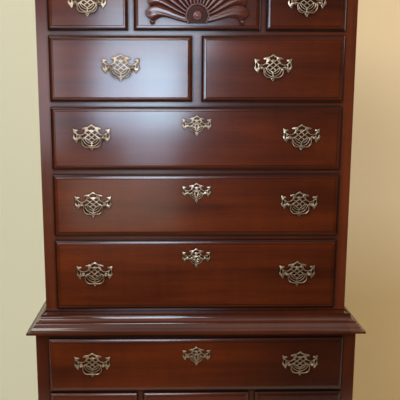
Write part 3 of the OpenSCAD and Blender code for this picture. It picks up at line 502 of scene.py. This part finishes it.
# %% [markdown]
# Inside, nobody polished anything: drawer sides, dust boards and backs are plain
# sawn poplar, pale and dull, with the same grain group in quieter colours. The
# back is made of boards side by side: each gets its own tint from a number drawn
# for it, and a dark line marks the joint.

# %% Poplar materials
BACK_BOARD, JOINT_LINE = 0.172, 0.0016
SAWN_SPECULAR = 0.25


def bare_wood(name, along):
    mat = varnished(name, linear(206, 178, 132), linear(168, 134, 90), along,
                    ribbon=0.6, pores=0.12, coat=0.0, edge=0.0008)
    shader = mat.node_tree.nodes["Principled BSDF"]
    shader.inputs["Specular IOR Level"].default_value = SAWN_SPECULAR
    return mat


def joined_boards(mat, width):
    tree = mat.node_tree
    colour = tree.nodes["Principled BSDF"].inputs["Base Color"]
    place = math_node(tree, "DIVIDE", axes(tree, on_piece(tree))["X"], width)
    number = add(tree, "ShaderNodeTexWhiteNoise", {"W": math_node(tree, "FLOOR", place)},
                 noise_dimensions="1D")
    tint = remap(tree, number.outputs["Value"], 0.0, 1.0, 0.72, 1.0)
    from_joint = math_node(tree, "PINGPONG", place, 0.5)
    tint = times(tree, tint, remap(tree, from_joint, 0.0, JOINT_LINE / width, 0.15, 1.0))
    shade = add(tree, "ShaderNodeCombineColor", {channel: tint for channel in range(3)})
    feed(tree, colour, mix_colour(tree, 1.0, colour.links[0].from_socket,
                                  shade.outputs[0], "MULTIPLY"))
    return mat


drawer_poplar = bare_wood("poplar_drawers", "y")
back_poplar = joined_boards(bare_wood("poplar_backs", "z"), BACK_BOARD)
dust_poplar = bare_wood("poplar_dust_boards", "x")
print("poplar ready")

# %% [markdown]
# Now the finish of every node. The name of a node says what it is, so one short
# function picks the material, and the record's slots stay as they were.

# %% Put the materials on the frame
NAMED = {
    "upper_side_panels": upright_wood, "lower_side_panels": upright_wood,
    "upper_front_frame": frame_wood, "lower_front_frame": low_frame_wood,
    "upper_dust_boards": dust_poplar, "lower_dust_boards": dust_poplar,
    "back_panels": back_poplar, "scroll_board": board_wood,
    "cornice_mouldings": waist_wood, "waist_moulding": waist_wood,
    "finials": upright_wood, "cabriole_legs": leg_wood,
}


def finish_of(name):
    if name in NAMED:
        return NAMED[name]
    if name.endswith("_bail"):
        return bail_brass
    if name.endswith(("_plate", "_plates")):
        return plate_brass
    if name.endswith("_box"):
        return drawer_poplar
    return low_front_wood if name.startswith(("row6", "row7")) else front_wood


for name, obj in nodes.items():
    obj.data.materials.clear()
    obj.data.materials.append(finish_of(name))
print("materials on", len(nodes), "nodes")

# %% [markdown]
# The frame's own meshes are never changed. Where a piece needs finer work, its
# node is copied, the copy is worked on, and then it stands for the node. A copy
# starts as loose triangles. They are merged, and where the form is built of flat
# faces those are joined too, so that modifiers find clean edges.

# %% A copy to work on
MERGE_DISTANCE = 0.00001
FLAT_WITHIN = math.radians(0.5)


def body_of(name):
    return nodes[name]["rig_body"]


def merged_copy(name, new_name, flatten=True):
    obj = nodes[name].copy()
    obj.data = nodes[name].data.copy()
    obj.name = new_name
    obj.parent = None
    bpy.context.scene.collection.objects.link(obj)
    pick(obj)
    bpy.ops.mesh.customdata_custom_splitnormals_clear()
    bpy.ops.object.mode_set(mode="EDIT")
    bpy.ops.mesh.select_all(action="SELECT")
    bpy.ops.mesh.remove_doubles(threshold=MERGE_DISTANCE)
    if flatten:
        bpy.ops.mesh.dissolve_limited(angle_limit=FLAT_WITHIN)
    bpy.ops.object.mode_set(mode="OBJECT")
    return obj


print("copies can be made of", len(nodes), "nodes")

# %% [markdown]
# Cast plates have no sharp rims: their edges are filed round, so every bar of
# the lattice carries its own thin highlight. The bars could be modelled one by
# one, but the frame has each in its place, so a small bevel does the filing on
# every edge that turns by more than 35 degrees.

# %% Rounded brass plates
FILED_EDGE = 0.0007


def filed(obj):
    pick(obj)
    mod = obj.modifiers.new("filed", "BEVEL")
    mod.width = FILED_EDGE
    mod.segments = 2
    mod.limit_method = "ANGLE"
    mod.angle_limit = math.radians(35)
    mod.use_clamp_overlap = True
    bpy.ops.object.modifier_apply(modifier="filed")
    bpy.ops.object.shade_smooth_by_angle(angle=math.radians(30))


plates = [n for n in nodes if n.endswith(("_plate", "_plates"))]
for name in plates:
    cast = merged_copy(name, name + "_cast")
    filed(cast)
    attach(cast, body_of(name))
    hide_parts(name)
print(len(plates), "nodes of brass plates filed")


# %% [markdown]
# The lip round every drawer front is a quarter round, run with a moulding plane
# and scraped, so no facet shows. Subdividing would soften the whole front. Its
# normals are smoothed instead and weighted by the size of the faces, which keeps
# the broad field of each front truly flat. At the corners two runs meet in a
# crisp mitre, so those edges are marked sharp first.

# %% Scraped drawer lips
def mark_mitres(mesh, flat=0.002):
    """Sharpen each edge between an upright run (tilted in x) and a level one."""
    beside = {}
    for face in mesh.polygons:
        for key in face.edge_keys:
            beside.setdefault(key, []).append(face.normal)
    for edge in mesh.edges:
        runs = [(abs(n.x) > flat, abs(n.z) > flat) for n in beside.get(edge.key, [])]
        if (True, False) in runs and (False, True) in runs:
            edge.use_edge_sharp = True


def scraped(obj):
    mark_mitres(obj.data)
    pick(obj)
    bpy.ops.object.shade_smooth_by_angle(angle=math.radians(38))
    mod = obj.modifiers.new("scraped", "WEIGHTED_NORMAL")
    mod.keep_sharp = True
    mod.weight = 100
    bpy.ops.object.modifier_apply(modifier="scraped")


plain_fronts = [n for n in nodes if n.endswith("_front") and "_centre_" not in n]
for name in sorted(plain_fronts):
    front = merged_copy(name, name + "_scraped")
    scraped(front)
    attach(front, body_of(name))
    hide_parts(name)
print(len(plain_fronts), "drawer lips scraped")


# %% [markdown]
# A carver cuts a shell with gouges, so each ray is one long sweep without a
# flat. The fan could be sculpted anew, but the frame already has every ray at its
# size, as a net of small triangles. They are paired into quads and subdivided
# once, with creases along the sharp valleys, so that the sweeps turn smooth and
# the valleys stay crisp.

# %% Smooth carving
def loose_parts(obj):
    """The separate solids of a copy, the widest one first."""
    pick(obj)
    bpy.ops.mesh.separate(type="LOOSE")
    return sorted(bpy.context.selected_objects, key=lambda o: -o.dimensions.x)


def subdivided(obj, crease_from=48.0):
    pick(obj)
    bpy.ops.object.mode_set(mode="EDIT")
    bpy.ops.mesh.select_all(action="SELECT")
    bpy.ops.mesh.tris_convert_to_quads(face_threshold=math.radians(60),
                                       shape_threshold=math.radians(70))
    bpy.ops.mesh.select_all(action="DESELECT")
    bpy.ops.mesh.select_mode(type="EDGE")
    bpy.ops.mesh.edges_select_sharp(sharpness=math.radians(crease_from))
    bpy.ops.transform.edge_crease(value=1.0)
    bpy.ops.mesh.select_mode(type="VERT")
    bpy.ops.object.mode_set(mode="OBJECT")
    mod = obj.modifiers.new("gouged", "SUBSURF")
    mod.levels = mod.render_levels = 1
    bpy.ops.object.modifier_apply(modifier="gouged")
    bpy.ops.object.shade_smooth_by_angle(angle=math.radians(50))


print("carving helpers ready")

# %% [markdown]
# Close up, a gouge leaves fine uneven reeds that run out from the middle of the
# shell. A noise on polar coordinates, that is on the turn round the centre and
# the distance from it, makes them. They tilt the surface before the fine bump of
# the grain does, so their own bump box goes in front of that one.

# %% Gouge marks
REEDS_ROUND, REEDS_ALONG = 19.0, 11.0  # reeds to a radian, and changes to a metre
GOUGE_DEPTH = 0.0026


def surface_bump(mat):
    """The bump box that feeds the shader's normal."""
    shader = mat.node_tree.nodes["Principled BSDF"]
    return shader.inputs["Normal"].links[0].from_node


def gouge_marks(mat, centre):
    tree = mat.node_tree
    out = vector_math(tree, "SUBTRACT", on_piece(tree), centre)["Vector"]
    flat = axes(tree, out)
    turn = math_node(tree, "ARCTAN2", flat["Z"], flat["X"])
    far = vector_math(tree, "LENGTH", out)["Value"]
    polar = add(tree, "ShaderNodeCombineXYZ", {"X": times(tree, turn, REEDS_ROUND),
                                               "Y": times(tree, far, REEDS_ALONG)})
    reeds = noise(tree, polar.outputs[0], 1.0, 1.0, 0.5)
    fine = surface_bump(mat).inputs["Normal"]
    feed(tree, fine, bumped(tree, reeds, fine.links[0].from_socket, 1.0, GOUGE_DEPTH))


print("gouge marks ready")

# %% [markdown]
# The hub of a shell is turned and punched. Its button is varnished smooth and
# given a lighter colour, a painted highlight. The ground round the button is struck
# with a punch, and a deep fine noise breaks its varnish up until it looks matt; its
# darker colour is painted shade of the punch marks. The noise takes the place of
# the grain's height in the bump box that the varnish already has.

# %% Hub materials
PUNCH_SCALE, PUNCH_DEPTH = 420.0, 0.0016
# A lighter colour on the button: painted highlight.
highlight_button_wood = varnished("mahogany_button", linear(150, 84, 66), linear(96, 48, 36), "x",
                        coat_rough=0.12, reach=0.002)
# The darker colour of the punched ground is painted shade of the punch marks.
punched_wood = varnished("mahogany_punched", linear(84, 36, 20), linear(40, 15, 8), "x",
                         coat=0.12, coat_rough=0.2, reach=0.006)
ground = punched_wood.node_tree
ground_bump = surface_bump(punched_wood).inputs
feed(ground, ground_bump["Height"], noise(ground, on_piece(ground), PUNCH_SCALE, 1.0, 0.5))
feed(ground, ground_bump["Strength"], 1.0)
feed(ground, ground_bump["Distance"], PUNCH_DEPTH)
print("button and punched ground ready")

# %% [markdown]
# A button has one thin ring round its foot and a smaller one on its crown. They
# are sized and placed from the hub itself: its disc on the board is measured for
# the centre and the radius, and every ring is given in radii of that disc.

# %% Rings of a hub
RINGS = ((0.285, 0.030, 0.170), (0.13, 0.018, 0.262))  # radius, thickness, height


def disc_centre(hub):
    """The middle of the hub's disc on the board, and the disc's radius."""
    points = [hub.matrix_world @ v.co for v in hub.data.vertices]
    left, right = min(p.x for p in points), max(p.x for p in points)
    r = (right - left) / 2
    top, back = max(p.z for p in points), max(p.y for p in points)
    return Vector(((left + right) / 2, back, top - r)), r


def button_ring(centre, r, major, minor, out):
    deselect()
    bpy.ops.mesh.primitive_torus_add(
        major_radius=major * r, minor_radius=minor * r, major_segments=56, minor_segments=12,
        location=(centre.x, centre.y - out * r, centre.z), rotation=(math.radians(90), 0, 0))
    ring = bpy.context.object
    bpy.ops.object.transform_apply(location=True, rotation=True, scale=True)
    bpy.ops.object.shade_smooth()
    # The rings share the button's lighter colour, a painted highlight.
    ring.data.materials.append(highlight_button_wood)
    return ring


print(len(RINGS), "rings to a button")

# %% [markdown]
# The punched ground is the part of the hub between its button and its rim. It is
# found by measuring every face from the centre, in radii of the hub.

# %% Punched ground of a hub
BUTTON_EDGE, GROUND_EDGE = 0.31, 0.90


def finish_hub(hub, centre, r):
    hub.data.materials[0] = highlight_button_wood
    hub.data.materials.append(punched_wood)
    reach = [math.hypot(v.co.x - centre.x, v.co.z - centre.z) / r for v in hub.data.vertices]
    for face in hub.data.polygons:
        middle = math.hypot(face.center.x - centre.x, face.center.z - centre.z) / r
        if min(reach[i] for i in face.vertices) > BUTTON_EDGE and middle < GROUND_EDGE:
            face.material_index = 1


print("ground from", BUTTON_EDGE, "to", GROUND_EDGE, "of the hub's radius")

# %% [markdown]
# Each carved front is taken apart into its solids: the board, the fan, the hub
# and the small balls under the drooping rays. Every one gets its own treatment,
# and then they are joined again with the rings, so that one piece stands for the
# node.

# %% Carved fronts
for name in ("row1_centre_front", "row7_centre_front"):
    board, fan, hub, *balls = loose_parts(merged_copy(name, name + "_carved", flatten=False))
    scraped(board)
    subdivided(fan)
    centre, r = disc_centre(hub)
    carved_wood = varnished(name + "_mahogany", linear(112, 53, 37), linear(58, 23, 14), "x",
                            coat_rough=0.17, slope_shade=0.2, reach=0.012)
    gouge_marks(carved_wood, centre)
    for part in (hub, *balls):
        pick(part)
        bpy.ops.object.shade_smooth_by_angle(angle=math.radians(40))
    for part in (fan, *balls):
        part.data.materials[0] = carved_wood
    finish_hub(hub, centre, r)
    rings = [button_ring(centre, r, *sizes) for sizes in RINGS]
    deselect()
    for part in (fan, hub, *balls, *rings):
        part.select_set(True)
    board.select_set(True)
    bpy.context.view_layer.objects.active = board
    bpy.ops.object.join()
    board.name = name + "_carved"
    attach(board, body_of(name))
    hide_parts(name)
    print(board.name, len(board.data.polygons), "faces")

# %% [markdown]
# Legs, mouldings and turned finials are worked with rasp and scraper until no
# facet can be felt, so they are subdivided like the fans. Corners that are meant
# to be square, such as those of the posts and plinths, keep a full crease.

# %% Smooth legs, mouldings and finials
for name, crease_from in (("cabriole_legs", 50), ("cornice_mouldings", 28), ("finials", 50),
                          ("waist_moulding", 50)):
    shaped = merged_copy(name, name + "_shaped", flatten=False)
    subdivided(shaped, crease_from)
    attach(shaped, body_of(name))
    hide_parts(name)
    print(shaped.name, len(shaped.data.polygons), "faces")


# %% [markdown]
# The room is plain: a pale floor and a wall behind the chest, a little greener on
# the left, and warmer on the right, where painted shade deepens it towards the
# floor. The wall is one-sided, so that the chest can also be seen from behind.
# Floor and wall are stage, not part of the piece.

# %% Floor and wall
def stage_plane(name, size, location, rotation):
    deselect()
    bpy.ops.mesh.primitive_plane_add(size=1.0, location=location, rotation=rotation)
    plane = bpy.context.object
    plane.name = name
    plane.scale = (size[0], size[1], 1.0)
    pick(plane)
    bpy.ops.object.transform_apply(location=True, rotation=True, scale=True)
    return plane


TURNS_WARM = -0.2, 0.3                # x at which the wall begins to turn and is warm
WALL_SHADE_LIFTS = 0.62, 1.08                 # the same upwards, on the right


def paint(name, left, right, shaded_low_right):
    mat, tree, shader = new_material(name)
    shader.inputs["Roughness"].default_value = 0.9
    shader.inputs["Specular IOR Level"].default_value = 0.1
    place = axes(tree, on_piece(tree))
    # Darker towards the floor on the right: painted shade.
    right = mix_colour(tree, remap(tree, place["Z"], *WALL_SHADE_LIFTS), shaded_low_right, right)
    colour = mix_colour(tree, remap(tree, place["X"], *TURNS_WARM), left, right)
    feed(tree, shader.inputs["Base Color"], colour)
    return mat


def one_sided(mat):
    """Clear as glass from behind."""
    tree = mat.node_tree
    behind = add(tree, "ShaderNodeNewGeometry").outputs["Backfacing"]
    clear = add(tree, "ShaderNodeBsdfTransparent").outputs[0]
    both = add(tree, "ShaderNodeMixShader",
               {0: behind, 1: tree.nodes["Principled BSDF"].outputs[0], 2: clear})
    feed(tree, tree.nodes["Material Output"].inputs["Surface"], both.outputs[0])
    return mat


pale = linear(198, 192, 178)
floor = stage_plane("floor", (6.0, 2.6), (0.0, -0.2, 0.0), (0, 0, 0))
floor.data.materials.append(paint("floor_paint", pale, pale, pale))
wall = stage_plane("wall", (9.0, 5.0), (0.0, 0.75, 2.5), (math.radians(90), 0, 0))
wall.data.materials.append(one_sided(paint(
    "wall_paint", linear(216, 211, 181), linear(222, 197, 156), linear(196, 166, 118))))
print("stage: floor and wall")

# %% [markdown]
# One broad lamp high on the left gives the forms their light, and a weak one on
# the right fills the shadows. The varnish acts as a mirror, so it needs a room to
# show: a window in front, made of four panes and an arch above them, is seen in
# the upper drawers and as bright lines along the mouldings. Two faint glows stand
# for the walls beside and under it, and a last lamp lights the wall behind.

# %% Lamps
WINDOW_Y = -4.2
front_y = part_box("row3_front")[0].y


def area_lamp(name, location, target, size, power, colour):
    data = bpy.data.lights.new(name, "AREA")
    data.shape = "RECTANGLE"
    data.size, data.size_y = size
    data.energy = power
    data.color = colour
    lamp = bpy.data.objects.new(name, data)
    bpy.context.scene.collection.objects.link(lamp)
    lamp.location = location
    lamp.rotation_euler = (Vector(target) - Vector(location)).to_track_quat("-Z", "Y").to_euler()


def reflected(name, x, z, aim_x, aim_z, size, power, colour):
    """A lamp in the plane of the window, turned to a point on the drawer fronts."""
    area_lamp(name, (x, WINDOW_Y, z), (aim_x, front_y, aim_z), size, power, colour)


reflected("window_left", -0.555, 1.56, -0.555, 1.60, (0.37, 0.64), 12.4, (0.60, 0.76, 1.0))
reflected("window_right", -0.155, 1.56, -0.155, 1.60, (0.42, 0.64), 20.2, (0.58, 0.79, 1.0))
reflected("window_top", -0.20, 2.12, -0.20, 1.60, (0.96, 0.46), 19.0, (0.60, 0.79, 1.0))
reflected("window_arch", -0.36, 2.92, 0.0, 1.20, (0.7, 0.9), 20.0, (1.0, 0.88, 0.82))
area_lamp("key_lamp", (-2.2, -3.0, 3.8), (0.0, 0.0, 1.2), (2.4, 2.0), 120.0, (1.0, 0.97, 0.93))
area_lamp("fill_lamp", (3.0, -2.4, 1.8), (0.0, 0.0, 1.1), (1.8, 2.4), 5.0, (1.0, 0.93, 0.84))
reflected("window_low", -0.26, 1.07, -0.26, 1.60, (0.45, 0.34), 3.2, (0.58, 0.74, 1.0))
reflected("side_glow", -1.36, 1.58, -0.4, 1.50, (0.62, 1.14), 8.6, (0.84, 0.88, 1.0))
reflected("low_glow", -0.5, 0.58, -0.2, 1.2, (1.0, 0.6), 3.5, (1.0, 0.78, 0.60))
area_lamp("wall_lamp", (3.3, -0.7, 2.7), (0.8, 0.75, 1.35), (1.2, 1.8), 61.0, (1.0, 0.92, 0.80))

# %% [markdown]
# The room itself is dim, and its ceiling is pale, so that whatever faces upwards
# gets a soft light. The camera alone sees a plain cream colour where neither
# floor nor wall is in the way.

# %% World
DIM, CEILING = (0.02, 0.018, 0.016, 1.0), (0.85, 0.84, 0.80, 1.0)
CREAM = linear(222, 214, 196)
world = bpy.data.worlds.new("room_light")
world.use_nodes = True
bpy.context.scene.world = world
sky = world.node_tree
upward = axes(sky, add(sky, "ShaderNodeTexCoord").outputs["Generated"])["Z"]
room = mix_colour(sky, remap(sky, upward, 0.35, 0.95), DIM, CEILING)
camera_ray = add(sky, "ShaderNodeLightPath").outputs["Is Camera Ray"]
feed(sky, sky.nodes["Background"].inputs["Color"], mix_colour(sky, camera_ray, room, CREAM))
print("a dim room with a pale ceiling")

# %% [markdown]
# The camera stands two steps back at eye height and looks slightly down, close
# enough that the pediment and the legs run out of the frame.

# %% Camera
EYE = (-0.079, -2.061, 1.568)
TILT, TURNED_RIGHT = 80.23, 0.92      # degrees up from straight down, and to the right
lens = bpy.data.cameras.new("camera")
lens.sensor_width = 36.0
lens.lens = 57.6
lens.shift_x = 0.051
lens.shift_y = 0.002
camera = bpy.data.objects.new("camera", lens)
bpy.context.scene.collection.objects.link(camera)
camera.location = EYE
camera.rotation_euler = (math.radians(TILT), 0.0, math.radians(-TURNED_RIGHT))
bpy.context.scene.camera = camera
bpy.context.scene.view_settings.view_transform = "Standard"
print("camera at", tuple(round(v, 3) for v in camera.location))
